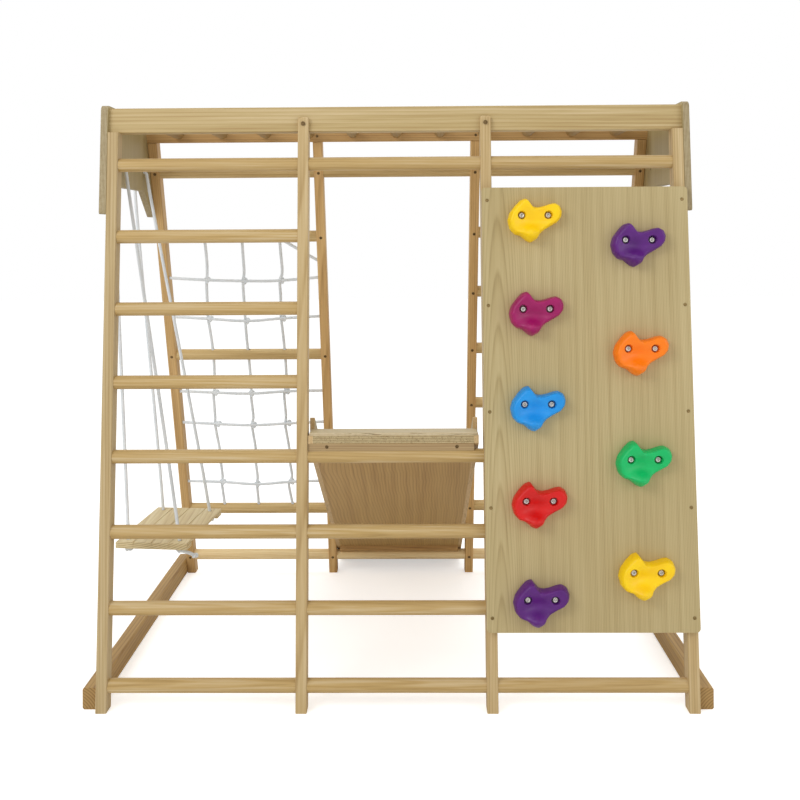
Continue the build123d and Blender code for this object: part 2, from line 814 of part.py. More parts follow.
def swing_rope_route(hole_y, sy):
    """Route of one rope: up from the outer seat hole, through the plate and down to the inner one."""
    knee = swing_seat_height + rope_knee_rise
    outer_low = [seat_hole_point(-1, sy, z) for z in (seat_bottom, knee)]
    inner_low = [seat_hole_point(1, sy, z) for z in (knee, seat_bottom)]
    outer_top = (-plate_middle - rope_arm, hole_y, swing_pivot_height)
    inner_top = (-plate_middle + rope_arm, hole_y, swing_pivot_height)
    guard = (-plate_middle - rope_arm + rope_guard_inset, hole_y, swing_pivot_height - rope_guard_drop)
    return [*outer_low, guard, outer_top, inner_top, *inner_low]


swing_rope_bends = (rope_knee_bend, rope_guard_bend, swing_rope_bend, swing_rope_bend, rope_knee_bend)


def swing_rope(hole_y, sy):
    route = swing_rope_route(hole_y, sy)
    path = FilletPolyline(*route, radius=list(swing_rope_bends))
    section = Plane(origin=path @ 0, z_dir=path % 0) * Circle(swing_rope_radius)
    return sweep(section, path=path), path


def swing_knot(sx, sy):
    """Stopper knot under a batten: a squashed ball cut flat where it bears on the seat."""
    x, y, z = seat_hole_point(sx, sy, seat_bottom)
    ball = scale(Sphere(knot_radius), by=(1, 1, knot_squash))
    ball = Pos(x, y, z - knot_drop) * ball
    size = 4 * knot_radius
    cap = Pos(x, y, z) * Box(size, size, size, align=(Align.CENTER, Align.CENTER, Align.MIN))
    return ball - cap


# ---- Build every node ----
nodes = {}


def add(name, *shapes):
    solids = []
    for shape in shapes:
        solids.extend(shape.solids())
    nodes[name] = Compound(children=solids) if len(solids) > 1 else solids[0]


for index, name in enumerate(leg_names):
    front_leg = leg(front, index)
    for hole in tenon_holes(front, index, front_rungs):
        front_leg -= hole
    rear_leg = leg(rear, index)
    for hole in tenon_holes(rear, index, rear_rungs):
        rear_leg -= hole
    for place in rung_screw_places():
        if place[0] == index:
            rear_leg -= rung_screw(place, joint_play)
    if index in (0, 3):
        side = -1 if index == 0 else 1
        front_leg -= limb_bolt(front, side, joint_play)
        front_leg -= base_bolt(front, side, joint_play)
        rear_leg -= limb_bolt(rear, side, joint_play)
        rear_leg -= base_bolt(rear, side, joint_play)
    else:
        front_leg -= lap_bolt(front, leg_places[index], joint_play)
        rear_leg -= lap_bolt(rear, leg_places[index], joint_play)
    if index in (0, 1):
        for height in net_row_heights:
            rear_leg -= net_row(height, net_hole_radius)
    if index in (2, 3):
        for place in panel_screw_places():
            front_leg -= panel_screw(place, joint_play)
    add(f"front_leg_{name}", front_leg)
    add(f"rear_leg_{name}", rear_leg)

add("front_top_rail", top_rail(front))
add("rear_top_rail", top_rail(rear))
add("end_plate_left", end_plate(-1))
add("end_plate_right", end_plate(1))
add("base_rail_left", base_rail(-1))
add("base_rail_right", base_rail(1))

for level, bays in front_bays.items():
    add(f"front_rung_{level + 1}", *[rung(front, bay, front_height(level)) for bay in bays])
add("rear_rung_bottom", *[rung(rear, bay, rear_height(0)) for bay in (0, 1, 2)])
add("rear_rung_top", *[rung(rear, bay, rear_height(level_count - 1)) for bay in (0, 1, 2)])
for name, height in zip(("lower", "middle", "upper"), net_rung_heights):
    net_rung = rung(rear, 0, height)
    for x in net_column_places():
        net_rung -= net_column(x, net_hole_radius)
    add(f"net_rung_{name}", net_rung)
add("rear_ladder_rungs", *[rung(rear, 2, rear_height(level)) for level in ladder_levels])
add("overhead_bars", *[overhead_bar(x) for x in bar_places()])

add("climbing_panel", climbing_panel())
one_hold = climbing_hold()
for name, x, rise in hold_places():
    add(name, front.place(one_hold, x, rise, -panel_thickness))
one_bolt = hold_bolt()
one_nut = tee_nut()
add("hold_bolts", *[front.place(one_bolt, x, rise, -panel_thickness) for x, rise in hold_bolt_places()])
add("hold_tee_nuts", *[front.place(one_nut, x, rise, 0) for x, rise in hold_bolt_places()])
add("panel_screws", *[panel_screw(place) for place in panel_screw_places()])
add("rung_screws", *[rung_screw(place) for place in rung_screw_places()])

frame_bolts = [lap_bolt(ladder, x) for ladder in (front, rear) for x in (-mid_leg_offset, mid_leg_offset)]
barrel_nuts = []
for ladder in (front, rear):
    for side in (-1, 1):
        frame_bolts.append(rail_end_bolt(ladder, side))
        frame_bolts.append(limb_bolt(ladder, side))
        frame_bolts.append(base_bolt(ladder, side))
        barrel_nuts.append(barrel_nut(ladder, side))
add("frame_bolts", *frame_bolts)
add("barrel_nuts", *barrel_nuts)

add("net_ropes_upright", *[net_column(x) for x in net_column_places()])
add("net_ropes_cross", *[net_row(height) for height in net_row_heights])

bed = slide_bed()
saddle = slide_saddle()
for place in slide_screw_places:
    saddle -= slide_screw(place, joint_play)
add("slide_bed", bed)
add("slide_side_left", slide_side(slide_low))
add("slide_side_right", slide_side(slide_high - slide_side_thickness))
add("slide_head", slide_head())
add("slide_saddle", saddle)
add("slide_stop", slide_stop())
add("slide_screws", *[slide_screw(place) for place in slide_screw_places])

add("swing_slats", *swing_slats())
add("swing_battens", *swing_battens())
for name, hole_y, sy in (("front", swing_hole_front, -1), ("rear", swing_hole_rear, 1)):
    rope, path = swing_rope(hole_y, sy)
    share = rope.volume / (math.pi * swing_rope_radius ** 2 * path.length)
    print("swing rope", name, "bends", swing_rope_bends, "length", round(path.length, 1))
    print("swing rope", name, "share of section times length", round(share, 4))
    add(f"swing_rope_{name}", rope)
add("swing_knots", *[swing_knot(sx, sy) for sx in (-1, 1) for sy in (-1, 1)])

# The origin is under the middle of the whole object, on the floor.
boxes = [shape.bounding_box() for shape in nodes.values()]
middle_x = (min(box.min.X for box in boxes) + max(box.max.X for box in boxes)) / 2
middle_y = (min(box.min.Y for box in boxes) + max(box.max.Y for box in boxes)) / 2
centring = Pos(-middle_x, -middle_y, 0)
print("origin shift", round(-middle_x, 4), round(-middle_y, 4))
print("slide hinge", round(hang_y - middle_y, 4), round(hang_z, 4))
print("swing hinge", -plate_middle, round(swing_pivot_height, 4))

os.makedirs("parts", exist_ok=True)
for name, shape in nodes.items():
    export_step(centring * shape, f"parts/{name}.step")
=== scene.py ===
import math

import bpy
import numpy as np
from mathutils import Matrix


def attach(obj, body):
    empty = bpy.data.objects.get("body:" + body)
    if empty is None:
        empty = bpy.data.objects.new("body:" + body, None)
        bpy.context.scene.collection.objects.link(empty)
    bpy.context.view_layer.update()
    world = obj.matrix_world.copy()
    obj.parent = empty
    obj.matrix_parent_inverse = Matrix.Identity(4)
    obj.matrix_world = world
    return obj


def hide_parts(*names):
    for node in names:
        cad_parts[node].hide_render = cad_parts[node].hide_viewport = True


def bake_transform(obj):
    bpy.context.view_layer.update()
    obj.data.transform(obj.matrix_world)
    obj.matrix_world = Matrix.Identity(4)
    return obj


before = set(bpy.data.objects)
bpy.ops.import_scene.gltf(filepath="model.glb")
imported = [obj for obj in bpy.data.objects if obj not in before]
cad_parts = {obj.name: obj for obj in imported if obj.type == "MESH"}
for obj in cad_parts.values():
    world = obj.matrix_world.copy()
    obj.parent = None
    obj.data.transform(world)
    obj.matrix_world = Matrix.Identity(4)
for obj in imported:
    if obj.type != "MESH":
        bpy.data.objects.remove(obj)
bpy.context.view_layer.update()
print("frame loaded:", len(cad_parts), "nodes")

# Sizes that several pieces share, in metres and radians.
playset = {
    "originBack": 0.5462785,  # from the front feet to the origin
    "leanFront": math.radians(4.8),
    "leanRear": math.radians(-17.8),
    "feetSpread": 0.960,
    "slideSlope": math.radians(32.3),
    "bayLow": -0.722,  # inner faces of the left bay's two legs
    "bayHigh": -0.2517,
}


def tone(code):
    # sRGB hex to the linear colour that a socket takes
    srgb = np.array([int(code[i:i + 2], 16) for i in (0, 2, 4)]) / 255
    linear = np.where(srgb <= 0.04045, srgb / 12.92, ((srgb + 0.055) / 1.055) ** 2.4)
    return (*linear.tolist(), 1.0)


def onLadder(foot, lean, x, rise, depth):
    # a point of a leaning frame: across, up along its legs and back from its front face
    x, rise, depth = np.broadcast_arrays(x, rise, depth)
    back = foot + math.sin(lean) * rise + math.cos(lean) * depth - playset["originBack"]
    up = math.cos(lean) * rise - math.sin(lean) * depth
    return np.stack([x, back, up], axis=-1)


def onFront(x, rise, depth):
    return onLadder(0.0, playset["leanFront"], x, rise, depth)


def onRear(x, height, depth):
    lean = playset["leanRear"]
    rise = (np.asarray(height) + math.sin(lean) * np.asarray(depth)) / math.cos(lean)
    return onLadder(playset["feetSpread"], lean, x, rise, depth)


# Camera
lensSettings = {"place": (0.04208, -2.29727 - playset["originBack"], 1.18725), "lens": 41.81,
                "shift": -0.2077, "tilt": (math.radians(90), 0.0061232, 0.0117726)}
camera = bpy.data.cameras.new("camera")
camera.sensor_width = 36.0
camera.lens = lensSettings["lens"]
camera.shift_y = lensSettings["shift"]
viewer = bpy.data.objects.new("camera", camera)
viewer.location = lensSettings["place"]
viewer.rotation_euler = lensSettings["tilt"]
bpy.context.scene.collection.objects.link(viewer)
bpy.context.scene.camera = viewer


class Graph:
    # a short way to lay shader nodes: each call adds one node and returns its output

    def __init__(self, name):
        self.material = bpy.data.materials.new(name)
        self.material.use_nodes = True
        self.tree = self.material.node_tree
        self.tree.nodes.clear()
        self.shader = self.tree.nodes.new("ShaderNodeBsdfPrincipled")
        self.out = self.tree.nodes.new("ShaderNodeOutputMaterial")
        self.tree.links.new(self.shader.outputs[0], self.out.inputs[0])

    def feed(self, socket, value):
        if isinstance(value, bpy.types.NodeSocket):
            self.tree.links.new(value, socket)
        else:
            socket.default_value = value

    def put(self, kind, output=0, inputs=(), **values):
        node = self.tree.nodes.new(kind)
        for key, value in values.items():
            setattr(node, key, value)
        for key, value in dict(inputs).items():
            self.feed(node.inputs[key], value)
        return node.outputs[output]

    def math(self, operation, a, b=0.0, c=0.0):
        return self.put("ShaderNodeMath", inputs={0: a, 1: b, 2: c}, operation=operation)

    def ramp(self, value, *stops):
        node = self.tree.nodes.new("ShaderNodeValToRGB")
        elements = node.color_ramp.elements
        while len(elements) < len(stops):
            elements.new(0.5)
        for element, (place, colour) in zip(elements, stops):
            element.position = place
            element.color = colour if isinstance(colour, tuple) else (colour, colour, colour, 1)
        self.feed(node.inputs[0], value)
        return node.outputs[0]

    def mix(self, share, a, b):
        return self.put("ShaderNodeMix", output=2, inputs={0: share, 6: a, 7: b}, data_type="RGBA")

    def objectPlace(self):
        return self.put("ShaderNodeTexCoord", output=3)

    def facing(self):
        return self.put("ShaderNodeTexCoord", output=1)

    def noise(self, vector, scale, detail=3.0, roughness=0.55):
        if isinstance(scale, tuple):
            vector = self.put("ShaderNodeMapping", inputs={"Vector": vector, "Scale": scale})
            scale = 1.0
        return self.put("ShaderNodeTexNoise", inputs={
            "Vector": vector, "Scale": scale, "Detail": detail, "Roughness": roughness})

    def bump(self, height, strength, distance, normal=None):
        inputs = {"Height": height, "Strength": strength, "Distance": distance}
        if normal is not None:
            inputs["Normal"] = normal
        return self.put("ShaderNodeBump", inputs=inputs)

    def finish(self, colour, roughness, normal, **uniform):
        self.feed(self.shader.inputs["Base Color"], colour)
        self.feed(self.shader.inputs["Roughness"], roughness)
        self.feed(self.shader.inputs["Normal"], normal)
        for key, value in uniform.items():
            self.shader.inputs[key.replace("_", " ")].default_value = value
        return self.material


# What all the woods share: noise scales across and along the grain, and how strong the patches are
grainSettings = {
    "fibres": (620.0, 620.0, 10.0), "cracks": (300.0, 300.0, 24.0), "waver": 4.0, "patches": 2.6, "patchShare": 0.3,
    "knotCells": (8.0, 8.0, 3.0), "torn": 90.0, "endGrain": 0.75,
}


def woodFigure(g, wood):
    # growth rings round a slightly tapered trunk, with long streaks and fine fibres: 0 pale to 1 dark.
    # The object coordinates are turned so that the grain runs along the third axis.
    turned = g.put("ShaderNodeMapping", inputs={"Vector": g.objectPlace(), "Rotation": wood["turn"]})
    parts = g.put("ShaderNodeSeparateXYZ", inputs={0: turned}).node.outputs
    across = grainSettings["waver"]
    waver = g.math("MULTIPLY", g.noise(turned, (across, across, wood["waver"]), 2.0), wood["wander"])
    side = g.math("ADD", parts[0], wood["pith"][0])
    back = g.math("MULTIPLY_ADD", parts[2], wood["taper"], g.math("ADD", parts[1], wood["pith"][1]))
    away = g.math("SQRT", g.math("ADD", g.math("POWER", side, 2.0), g.math("POWER", back, 2.0)))
    year = g.math("FRACT", g.math("MULTIPLY", g.math("ADD", away, waver), wood["ringsPerMetre"]))
    rings = g.ramp(year, (0.0, 0.0), (0.5, 0.2), (0.84, 1.0), (1.0, 0.0))
    broad = g.ramp(g.noise(turned, wood["broad"], 3.0), (0.36, 0.0), (0.66, 1.0))
    fine = g.ramp(g.noise(turned, wood["fine"], 3.0, 0.65), (0.36, 0.0), (0.66, 1.0))
    fibres = g.noise(turned, grainSettings["fibres"], 2.0, 0.6)
    shares = wood["shares"]
    figure = g.math("MULTIPLY", rings, shares[0])
    for layer, share in zip((broad, fine, fibres), shares[1:]):
        figure = g.math("MULTIPLY_ADD", layer, share, figure)
    return figure, rings, fibres, turned


def woodColour(g, wood, figure, turned):
    # three tones of the stock, slow patches from board to board, and sparse knots drawn out along the grain
    colour = g.ramp(figure, (0.1, tone(wood["pale"])), (0.5, tone(wood["middle"])), (0.95, tone(wood["deep"])))
    patch = g.ramp(g.noise(g.objectPlace(), grainSettings["patches"], 1.0), (0.35, 0.0), (0.7, 1.0))
    colour = g.mix(g.math("MULTIPLY", patch, grainSettings["patchShare"]), colour, tone(wood["patch"]))
    stretched = g.put("ShaderNodeMapping", inputs={"Vector": turned, "Scale": grainSettings["knotCells"]})
    cells = g.put("ShaderNodeTexVoronoi", inputs={"Vector": stretched, "Scale": 1.0}).node.outputs
    core = g.ramp(cells[0], (0.0, 1.0), (0.035, 0.85), (0.07, 0.0))
    chosen = g.math("LESS_THAN", g.put("ShaderNodeSeparateColor", inputs={0: cells[1]}), wood["knots"])
    return g.mix(g.math("MULTIPLY", core, chosen), colour, tone(wood["knot"]))


def solidWood(name, wood):
    # figure along the piece and rings on its sawn ends, told apart by the way the surface faces
    g = Graph(name)
    figure, rings, fibres, turned = woodFigure(g, wood)
    colour = woodColour(g, wood, figure, turned)
    facing = g.put("ShaderNodeMapping", inputs={"Vector": g.facing(), "Rotation": wood["turn"]}, vector_type="VECTOR")
    sawn = g.math("ABSOLUTE", g.put("ShaderNodeSeparateXYZ", output=2, inputs={0: facing}))
    endGrain = g.mix(g.math("MULTIPLY", rings, grainSettings["endGrain"]), tone(wood["middle"]), tone(wood["knot"]))
    colour = g.mix(g.ramp(sawn, (0.8, 0.0), (0.95, 0.8)), colour, endGrain)
    rough = g.ramp(figure, (0.0, 0.6), (1.0, 0.45))
    normal = g.bump(rings, 0.1, 0.0005, g.bump(fibres, 0.2, 0.0005))
    return g.finish(colour, rough, normal, Specular_IOR_Level=wood["gloss"])


def plywood(name, wood):
    # figure on the two faces and stacked plies on the edges, told apart by the way the surface faces
    g = Graph(name)
    figure, rings, fibres, turned = woodFigure(g, wood)
    colour = woodColour(g, wood, figure, turned)
    place = g.objectPlace()
    depth, flat = (g.put("ShaderNodeVectorMath", output=1, inputs={0: vector, 1: wood["through"]},
                         operation="DOT_PRODUCT") for vector in (place, g.facing()))
    edge = g.ramp(g.math("ABSOLUTE", flat), (0.55, 1.0), (0.8, 0.0))
    ply = g.math("FRACT", g.math("MULTIPLY", depth, 1 / wood["plyPitch"]))
    bands = g.ramp(ply, (0.0, 0.0), (0.46, 0.12), (0.52, 1.0), (0.97, 0.8), (1.0, 0.0))
    torn = g.noise(place, grainSettings["torn"], 3.0)
    bands = g.math("MULTIPLY_ADD", torn, 0.5, g.math("MULTIPLY", bands, 0.6))
    core = g.ramp(bands, (0.1, tone(wood["plyPale"])), (0.95, tone(wood["plyDark"])))
    cracks = g.ramp(g.noise(turned, grainSettings["cracks"], 3.0, 0.6), (0.55, 0.0), (0.66, 1.0))
    core = g.mix(g.math("MULTIPLY", cracks, wood["cracked"]), core, tone(wood["crack"]))
    colour = g.mix(edge, colour, core)
    normal = g.bump(g.math("MULTIPLY", bands, edge), 0.35, 0.0006, g.bump(fibres, 0.18, 0.0005))
    rough = g.ramp(figure, (0.0, 0.56), (1.0, 0.42))
    return g.finish(colour, rough, normal, Specular_IOR_Level=wood["gloss"])


alongX = (0, math.radians(-90), 0)
alongY = (math.radians(90), 0, 0)
alongFrontLegs = (playset["leanFront"], 0, 0)
alongRearLegs = (playset["leanRear"], 0, 0)
alongSlide = (math.radians(90) + playset["slideSlope"], 0, 0)

pine = {"pale": "d2bc92", "middle": "c2a878", "deep": "a68857", "patch": "bda070", "knot": "7c5a34", "knots": 0.05}
brownPine = {"pale": "dcba82", "middle": "c8a36c", "deep": "a47e4d", "patch": "bd955d", "knot": "5d3f20", "knots": 0.05}
birch = {"pale": "c6b78a", "middle": "b8a677", "deep": "9d8a5c", "patch": "ae9a6c", "knot": "7a6440", "knots": 0.02,
         "plyPale": "cfbf98", "plyDark": "94794c", "plyPitch": 0.0036, "cracked": 0.35, "crack": "6f5c38"}

boardFigure = {"taper": 0.02, "waver": 0.8, "wander": 0.012, "ringsPerMetre": 170.0,
               "broad": (45.0, 45.0, 1.3), "fine": (150.0, 150.0, 3.0), "shares": (0.36, 0.3, 0.34, 0.16),
               "gloss": 0.3}
dowelFigure = {"taper": 0.03, "waver": 0.9, "wander": 0.010, "ringsPerMetre": 150.0,
               "broad": (60.0, 60.0, 2.0), "fine": (190.0, 190.0, 4.0), "shares": (0.22, 0.32, 0.32, 0.16),
               "gloss": 0.3}
veneerFigure = {"taper": 0.035, "waver": 0.6, "wander": 0.020, "ringsPerMetre": 115.0,
                "broad": (26.0, 26.0, 0.7), "fine": (120.0, 120.0, 1.6), "shares": (0.26, 0.3, 0.3, 0.16),
                "gloss": 0.3}

frontLegWood = {**pine, **boardFigure, "turn": alongFrontLegs, "pith": (0.31, 0.12)}
leftLegWood = {**frontLegWood, "pale": "cdb993", "middle": "bca578", "deep": "a18558", "patch": "b79c70"}
rearLegWood = {**brownPine, **boardFigure, "turn": alongRearLegs, "pith": (0.22, -0.31)}
# painted light: a paler copy of the rear leg wood that lightens the middle rear legs, which the slide shades
litRearMiddleLegWood = {**rearLegWood, "pale": "e8c589", "middle": "d4ad73", "deep": "ae8753", "patch": "c99f64"}
frontRailWood = {**pine, **boardFigure, "turn": alongX, "pith": (0.12, 0.6), "middle": "bda674", "patch": "b79e6c",
                 "ringsPerMetre": 95.0, "wander": 0.018}
rearRailWood = {**brownPine, **boardFigure, "turn": alongX, "pith": (0.1, 0.42), "pale": "d4b078", "middle": "c09a64",
                "deep": "9a7446", "patch": "b48b56"}
frontRungWood = {**pine, **dowelFigure, "turn": alongX, "pith": (0.37, 0.81), "middle": "be9f66", "deep": "a0814b"}
rearRungWood = {**pine, **dowelFigure, "turn": alongX, "pith": (-0.4, 0.33), "pale": "dec490", "middle": "c9ab73",
                "deep": "a68650"}
# painted light: a paler copy of the rear rung wood that lightens the bottom rear rung where the slide shades it
litLowRungWood = {**rearRungWood, "pale": "f8e2b4", "middle": "e9cd98", "deep": "c9a86f", "patch": "eed2a0"}
# painted shade: a darker copy of the pine, so the overhead bars carry the shade of their undersides seen from below
shadedBarWood = {**pine, **dowelFigure, "turn": alongY, "pith": (0.9, 0.4), "pale": "b3986c", "middle": "a58857",
           "deep": "8c6c40", "patch": "9f8050", "gloss": 0.05}
baseRailWood = {**brownPine, **boardFigure, "turn": alongY, "pith": (0.825, -0.02), "ringsPerMetre": 150.0,
                "pale": "c8a66c", "middle": "b28f58", "deep": "8b683a", "patch": "a6824c",
                "shares": (0.42, 0.28, 0.26, 0.12)}
rightRailWood = {**baseRailWood, "pith": (-0.825, -0.02)}
slatWood = {**pine, **boardFigure, "turn": alongY, "pith": (0.8, 0.9), "pale": "ecdfbb", "middle": "decc9e",
            "deep": "c4aa7a", "patch": "d8c194"}
panelWood = {**birch, **veneerFigure, "turn": alongFrontLegs, "pith": (-0.262, 0.59), "taper": 0.03,
             "ringsPerMetre": 250.0, "wander": 0.008, "shares": (0.38, 0.12, 0.3, 0.16),
             "pale": "c6b588", "middle": "b5a274", "deep": "917d51", "patch": "a89465",
             "through": (0, -math.cos(playset["leanFront"]), math.sin(playset["leanFront"]))}
plateWood = {**birch, **veneerFigure, "turn": (0, 0, 0), "pith": (0.3, -0.9), "through": (1, 0, 0),
             "ringsPerMetre": 160.0, "pale": "b7a87c", "middle": "aa986a", "deep": "907e52", "patch": "a08d60",
             "plyPale": "beb18f", "plyDark": "867049"}
bedWood = {**birch, **veneerFigure, "turn": alongSlide, "pith": (0.7, -0.45), "ringsPerMetre": 170.0, "wander": 0.022,
           "waver": 4.0, "shares": (0.4, 0.14, 0.32, 0.16), "plyPale": "c9b890", "plyDark": "8f764a", "cracked": 0.7,
           "through": (0, math.sin(playset["slideSlope"]), math.cos(playset["slideSlope"])),
           "pale": "cbaa70", "middle": "b7935c", "deep": "98763f", "patch": "ad8d52"}
boardWood = {**birch, **veneerFigure, "turn": alongSlide, "pith": (1.4, -0.7), "through": (1, 0, 0),
             "plyPale": "dfc396", "plyDark": "bb9b69"}
capWood = {**birch, **veneerFigure, "turn": alongX, "pith": (0.4, 1.3), "through": (0, 0, 1),
           "pale": "dbcdae", "middle": "cbbc98", "deep": "ae9971", "plyPale": "dccdae", "plyDark": "ab9266",
           "cracked": 0.75}
cleatWood = {**pine, **boardFigure, "turn": alongX, "pith": (0.6, 0.5), "pale": "bca47a", "middle": "aa8f67",
             "deep": "8b6f49", "patch": "ae9369"}


def mouldedPlastic(name, body, shade):
    # cast resin: faint mottling and an orange-peel grain
    g = Graph(name)
    place = g.objectPlace()
    mottle = g.ramp(g.noise(place, 28.0), (0.35, 0.0), (0.7, 1.0))
    colour = g.mix(mottle, tone(body), tone(shade))
    rough = g.ramp(g.noise(place, 60.0, 4.0), (0.3, 0.33), (0.7, 0.47))
    normal = g.bump(g.noise(place, 900.0, 2.0, 0.6), 0.2, 0.0004)
    return g.finish(colour, rough, normal, Specular_IOR_Level=0.4)


def platedSteel(name, body, shade, rough):
    g = Graph(name)
    place = g.objectPlace()
    colour = g.mix(g.ramp(g.noise(place, 160.0), (0.35, 0.0), (0.7, 1.0)), tone(body), tone(shade))
    spots = g.noise(place, 700.0, 2.0)
    return g.finish(colour, g.ramp(spots, (0.3, rough), (0.75, rough + 0.2)), g.bump(spots, 0.1, 0.0002), Metallic=1.0)


def ropeFibre(name, pale, shade):
    # soft yarns laid along the strands of the rope, with painted shade that darkens one side of the rope all along its
    # length, and random darker dirt patches
    g = Graph(name)
    uv = g.put("ShaderNodeSeparateXYZ", inputs={0: g.put("ShaderNodeUVMap", uv_map="rope")}).node.outputs
    # painted shade: the distance round the rope from its palest side, darkening one side of every rope and knot
    strands = g.math("ABSOLUTE", g.math("SUBTRACT", uv[0], 0.5))
    yarns = g.put("ShaderNodeMath", inputs={0: g.math("MULTIPLY", uv[0], 60.0)}, operation="SINE")
    fuzz = g.noise(g.objectPlace(), 1500.0, 2.0)
    dirt = g.noise(g.objectPlace(), 22.0, 3.0)
    value = g.math("MULTIPLY_ADD", dirt, 0.5, g.math("MULTIPLY", strands, 0.3))
    colour = g.ramp(value, (0.1, tone(pale)), (0.6, tone(shade)))
    normal = g.bump(fuzz, 0.25, 0.0004, g.bump(yarns, 0.12, 0.0003))
    return g.finish(colour, g.ramp(fuzz, (0.3, 0.8), (0.7, 0.95)), normal, Specular_IOR_Level=0.2, Sheen_Weight=0.2)


finishes = {
    "frontLeg": solidWood("pineLegs", frontLegWood),
    "leftLeg": solidWood("pineLeftLeg", leftLegWood),
    "rearLeg": solidWood("brownLegs", rearLegWood),
    "rearMiddleLeg": solidWood("brownMiddleLegsPaintedLight", litRearMiddleLegWood),
    "frontRail": solidWood("pineRail", frontRailWood),
    "rearRail": solidWood("brownRail", rearRailWood),
    "frontRung": solidWood("pineDowel", frontRungWood),
    "rearRung": solidWood("brownDowel", rearRungWood),
    "lowRung": solidWood("lowDowelPaintedLight", litLowRungWood),
    "bar": solidWood("barDowelPaintedShade", shadedBarWood),
    "baseRail": solidWood("baseRailPine", baseRailWood),
    "rightRail": solidWood("rightRailPine", rightRailWood),
    "slat": solidWood("seatPine", slatWood),
    "cleat": solidWood("cleatPine", cleatWood),
    "panel": plywood("panelPly", panelWood),
    "plate": plywood("endPlatePly", plateWood),
    "bed": plywood("slideBedPly", bedWood),
    "board": plywood("slideBoardPly", boardWood),
    "cap": plywood("slideCapPly", capWood),
    "zinc": platedSteel("zincSteel", "dddbd6", "aba8a1", 0.3),
    "bronze": platedSteel("bronzedSteel", "98835a", "786541", 0.5),
    "darkSteel": platedSteel("darkSteel", "806a49", "5a4933", 0.5),
    "rope": ropeFibre("ropeFibre", "f3f6f8", "d0d7db"),
    "yellow": mouldedPlastic("yellowResin", "ffd600", "fbc902"),
    "magenta": mouldedPlastic("magentaResin", "a20a60", "940857"),
    "blue": mouldedPlastic("blueResin", "1999ea", "158ede"),
    "red": mouldedPlastic("redResin", "da0c08", "cc0907"),
    "purple": mouldedPlastic("purpleResin", "5c187a", "52146e"),
    "orange": mouldedPlastic("orangeResin", "ff8300", "fb7a00"),
    "green": mouldedPlastic("greenResin", "00be66", "00b25e"),
}
print("finishes ready:", len(finishes))

# The first rule whose words start a node's name gives its finish.
nodeFinishes = (
    ("front_leg_left", "leftLeg"), ("front_leg", "frontLeg"), ("rear_leg_mid", "rearMiddleLeg"),
    ("rear_leg", "rearLeg"), ("front_top_rail", "frontRail"), ("rear_top_rail", "rearRail"),
    ("front_rung", "frontRung"), ("rear_rung_bottom", "lowRung"), ("rear_", "rearRung"), ("net_rung", "rearRung"),
    ("overhead_bars", "bar"), ("end_plate", "plate"), ("base_rail_right", "rightRail"), ("base_rail", "baseRail"),
    ("climbing_panel", "panel"), ("slide_side", "board"), ("slide_bed", "bed"), ("slide_head", "cap"),
    ("slide_saddle", "cleat"), ("slide_stop", "rearRail"), ("swing_slats", "slat"), ("swing_battens", "slat"),
    ("hold_tee", "zinc"), ("panel_screws", "bronze"), ("", "darkSteel"),
)
for node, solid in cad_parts.items():
    finish = next(look for words, look in nodeFinishes if node.startswith(words))
    solid.data.materials.clear()
    solid.data.materials.append(finishes[finish])
print("solids dressed")


def makeMesh(name, points, loops, starts, finish, uvs=None):
    mesh = bpy.data.meshes.new(name)
    mesh.vertices.add(len(points))
    mesh.vertices.foreach_set("co", points.astype(np.float32).ravel())
    mesh.loops.add(len(loops))
    mesh.loops.foreach_set("vertex_index", loops.astype(np.int32))
    mesh.polygons.add(len(starts))
    mesh.polygons.foreach_set("loop_start", starts.astype(np.int32))
    mesh.polygons.foreach_set("use_smooth", np.ones(len(starts), bool))
    mesh.update(calc_edges=True)
    if uvs is not None:
        mesh.uv_layers.new(name="rope").data.foreach_set("uv", uvs.astype(np.float32).ravel())
    mesh.materials.append(finishes[finish])
    piece = bpy.data.objects.new(name, mesh)
    bpy.context.scene.collection.objects.link(piece)
    return piece


def gridMesh(name, points, finish, loop=False, uvs=None):
    # copies of closed grids: columns go round, and rows run from a pole to a pole or, with loop, back to the start
    copies, rows, columns = points.shape[:3]
    row, column = np.arange(rows if loop else rows - 1)[:, None], np.arange(columns)[None]
    nextColumn = (column + 1) % columns
    nextRow = (row + 1) % rows
    corners = np.stack(np.broadcast_arrays(
        row * columns + column, row * columns + nextColumn, nextRow * columns + nextColumn, nextRow * columns + column),
        axis=-1).reshape(-1, 4)
    size = rows * columns
    fans = np.zeros((0, 3), int)
    flat = points.reshape(copies, size, 3)
    if not loop:
        poles = np.stack([points[:, 0].mean(axis=1), points[:, -1].mean(axis=1)], axis=1)
        flat = np.concatenate([flat, poles], axis=1)
        first = np.stack([np.arange(columns), np.full(columns, size), (np.arange(columns) + 1) % columns], axis=-1)
        last = (rows - 1) * columns
        final = np.stack([last + first[:, 0], last + first[:, 2], np.full(columns, size + 1)], axis=-1)
        fans = np.concatenate([first, final])
    triangles = np.concatenate([corners[:, [0, 1, 2]], corners[:, [0, 2, 3]], fans])
    a, b, c = (flat[0][triangles[:, i]] for i in range(3))
    if np.einsum("ij,ij->", a, np.cross(b, c)) < 0:  # the faces look inwards
        corners, fans = corners[:, ::-1], fans[:, ::-1]
    step = (np.arange(copies) * flat.shape[1])[:, None, None]
    quads = (corners[None] + step).reshape(-1, 4)
    fans = (fans[None] + step).reshape(-1, 3)
    loops = np.concatenate([quads.ravel(), fans.ravel()])
    starts = np.concatenate([np.arange(len(quads)) * 4, quads.size + np.arange(len(fans)) * 3])
    if uvs is not None:
        values = np.concatenate([uvs.reshape(size, 2), uvs[[0, -1], 0] if not loop else uvs[:0, 0]])
        values = np.tile(values, (copies, 1))
        uvs = values[loops]
    return makeMesh(name, flat.reshape(-1, 3), loops, starts, finish, uvs)


